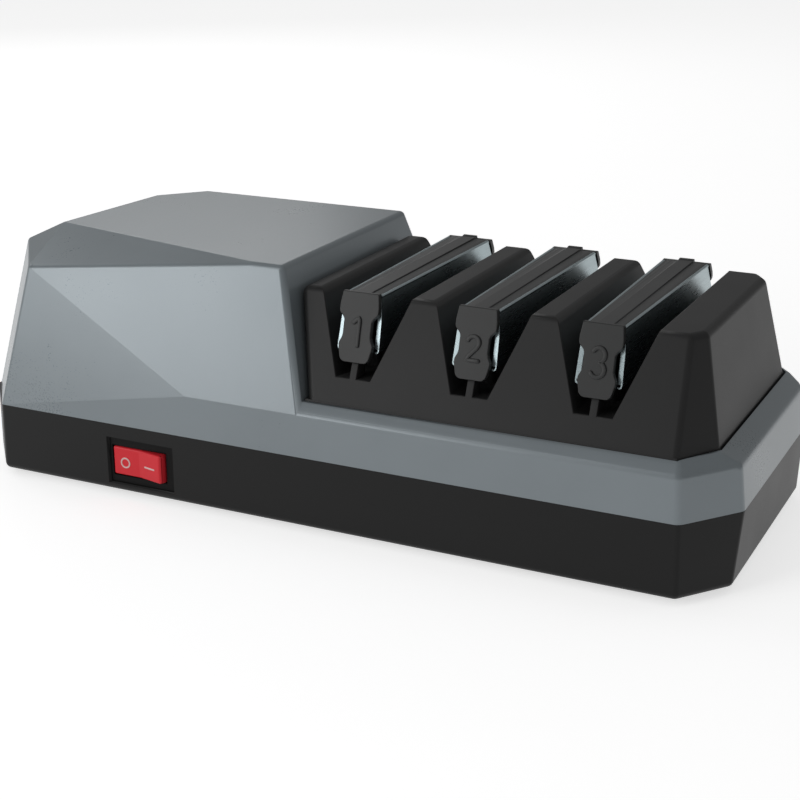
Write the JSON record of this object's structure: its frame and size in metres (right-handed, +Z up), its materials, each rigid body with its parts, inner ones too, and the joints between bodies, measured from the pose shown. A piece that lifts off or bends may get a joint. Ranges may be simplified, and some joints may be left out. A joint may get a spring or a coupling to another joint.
{
  "type": "electric knife sharpener",
  "caption": "Countertop electric knife sharpener with a motor hump, numbered V-notch stages with sprung guides over spinning abrasive disks, and a rocker switch.",
  "frame": {"origin": "centre of the footprint, on the plane that the rubber feet stand on", "axes": "+X along the body from the motor hump to the last sharpening stage, +Y from the switch side to the cord side, +Z up"},
  "size_m": [0.266, 0.1136, 0.082],
  "materials": {
    "cover_plastic": "satin grey, slightly blue",
    "black_plastic": "fine satin grain",
    "guide_plastic": "satin",
    "saddle_plastic": "satin",
    "spring_steel": "bright rolled sheet",
    "steel": "turned",
    "lamination": "stacked sheet, oiled",
    "zinc_casting": "as cast",
    "bronze": "sintered, oiled",
    "copper_wire": "enamelled winding",
    "terminal_brass": "pressed tabs",
    "nylon": "natural",
    "red_plastic": "gloss",
    "rubber": "matt",
    "grit": "diamond-coated, sandy",
    "polish": "flexible polishing compound"
  },
  "bodies": {
    "housing": {"base_housing": "black_plastic", "top_cover": "cover_plastic", "guide_block": "guide_plastic", "saddle_1": "saddle_plastic", "saddle_2": "saddle_plastic", "saddle_3": "saddle_plastic", "stator_core": "lamination", "coil_bobbin": "nylon", "coil_winding": "copper_wire", "fan_end_bracket": "zinc_casting", "drive_end_bracket": "zinc_casting", "fan_end_bush": "bronze", "drive_end_bush": "bronze", "end_bearing_holder": "zinc_casting", "end_bearing_bush": "bronze", "motor_bolts": "steel", "switch_plate": "black_plastic", "switch_terminals": "terminal_brass", "terminal_block": "nylon", "cord_grommet": "rubber", "rubber_feet": "rubber", "case_screws": "steel", "short_screws": "steel"},
    "drive": {"arbor_shaft": "steel", "rotor": "lamination", "cooling_fan": "nylon", "drive_pins": "steel", "disk_spring_1": "steel", "disk_spring_2": "steel", "disk_spring_3": "steel"},
    "switch_rocker": {"switch_rocker": "red_plastic"},
    "coarse_disk_left": {"coarse_disk_left": "grit"},
    "coarse_disk_right": {"coarse_disk_right": "grit"},
    "fine_disk_left": {"fine_disk_left": "grit"},
    "fine_disk_right": {"fine_disk_right": "grit"},
    "polish_disk_left": {"polish_disk_left": "polish"},
    "polish_disk_right": {"polish_disk_right": "polish"},
    "guide_spring_1_left": {"guide_spring_1_left": "spring_steel"},
    "guide_spring_1_right": {"guide_spring_1_right": "spring_steel"},
    "guide_spring_2_left": {"guide_spring_2_left": "spring_steel"},
    "guide_spring_2_right": {"guide_spring_2_right": "spring_steel"},
    "guide_spring_3_left": {"guide_spring_3_left": "spring_steel"},
    "guide_spring_3_right": {"guide_spring_3_right": "spring_steel"}
  },
  "joints": [
    {"name": "switch_rocker_tilt", "type": "hinge", "parent": "housing", "child": "switch_rocker", "pos_m": [-0.0627, -0.0515, 0.0125], "axis": [0, 0, 1], "range_deg": [0, 12]},
    {"name": "drive_spin", "type": "hinge", "parent": "housing", "child": "drive", "pos_m": [0, 0, 0.0305], "axis": [1, 0, 0], "continuous": true},
    {"name": "coarse_disk_left_float", "type": "slide", "parent": "drive", "child": "coarse_disk_left", "axis": [1, 0, 0], "range_m": [0, 0.001], "stiffness_N_per_m": 600, "springref_m": -0.002, "deforming": ["disk_spring_1"]},
    {"name": "coarse_disk_right_float", "type": "slide", "parent": "drive", "child": "coarse_disk_right", "axis": [-1, 0, 0], "range_m": [0, 0.001], "stiffness_N_per_m": 600, "springref_m": -0.002, "deforming": ["disk_spring_1"]},
    {"name": "fine_disk_left_float", "type": "slide", "parent": "drive", "child": "fine_disk_left", "axis": [1, 0, 0], "range_m": [0, 0.001], "stiffness_N_per_m": 600, "springref_m": -0.002, "deforming": ["disk_spring_2"]},
    {"name": "fine_disk_right_float", "type": "slide", "parent": "drive", "child": "fine_disk_right", "axis": [-1, 0, 0], "range_m": [0, 0.001], "stiffness_N_per_m": 600, "springref_m": -0.002, "deforming": ["disk_spring_2"]},
    {"name": "polish_disk_left_float", "type": "slide", "parent": "drive", "child": "polish_disk_left", "axis": [1, 0, 0], "range_m": [0, 0.001], "stiffness_N_per_m": 600, "springref_m": -0.002, "deforming": ["disk_spring_3"]},
    {"name": "polish_disk_right_float", "type": "slide", "parent": "drive", "child": "polish_disk_right", "axis": [-1, 0, 0], "range_m": [0, 0.001], "stiffness_N_per_m": 600, "springref_m": -0.002, "deforming": ["disk_spring_3"]},
    {"name": "guide_spring_1_left_flex", "type": "hinge", "parent": "housing", "child": "guide_spring_1_left", "pos_m": [0.0066, 0, 0.0752], "axis": [0.0217, -0.9998, 0], "range_deg": [0, 8], "stiffness_Nm_per_rad": 0.18, "springref_deg": -5.73},
    {"name": "guide_spring_1_right_flex", "type": "hinge", "parent": "housing", "child": "guide_spring_1_right", "pos_m": [0.0194, 0, 0.0752], "axis": [0.0217, 0.9998, 0], "range_deg": [0, 8], "stiffness_Nm_per_rad": 0.18, "springref_deg": -5.73},
    {"name": "guide_spring_2_left_flex", "type": "hinge", "parent": "housing", "child": "guide_spring_2_left", "pos_m": [0.0451, 0, 0.0752], "axis": [0.0217, -0.9998, 0], "range_deg": [0, 8], "stiffness_Nm_per_rad": 0.18, "springref_deg": -5.73},
    {"name": "guide_spring_2_right_flex", "type": "hinge", "parent": "housing", "child": "guide_spring_2_right", "pos_m": [0.0579, 0, 0.0752], "axis": [0.0217, 0.9998, 0], "range_deg": [0, 8], "stiffness_Nm_per_rad": 0.18, "springref_deg": -5.73},
    {"name": "guide_spring_3_left_flex", "type": "hinge", "parent": "housing", "child": "guide_spring_3_left", "pos_m": [0.0836, 0, 0.0752], "axis": [0.0217, -0.9998, 0], "range_deg": [0, 8], "stiffness_Nm_per_rad": 0.18, "springref_deg": -5.73},
    {"name": "guide_spring_3_right_flex", "type": "hinge", "parent": "housing", "child": "guide_spring_3_right", "pos_m": [0.0964, 0, 0.0752], "axis": [0.0217, 0.9998, 0], "range_deg": [0, 8], "stiffness_Nm_per_rad": 0.18, "springref_deg": -5.73}
  ]
}
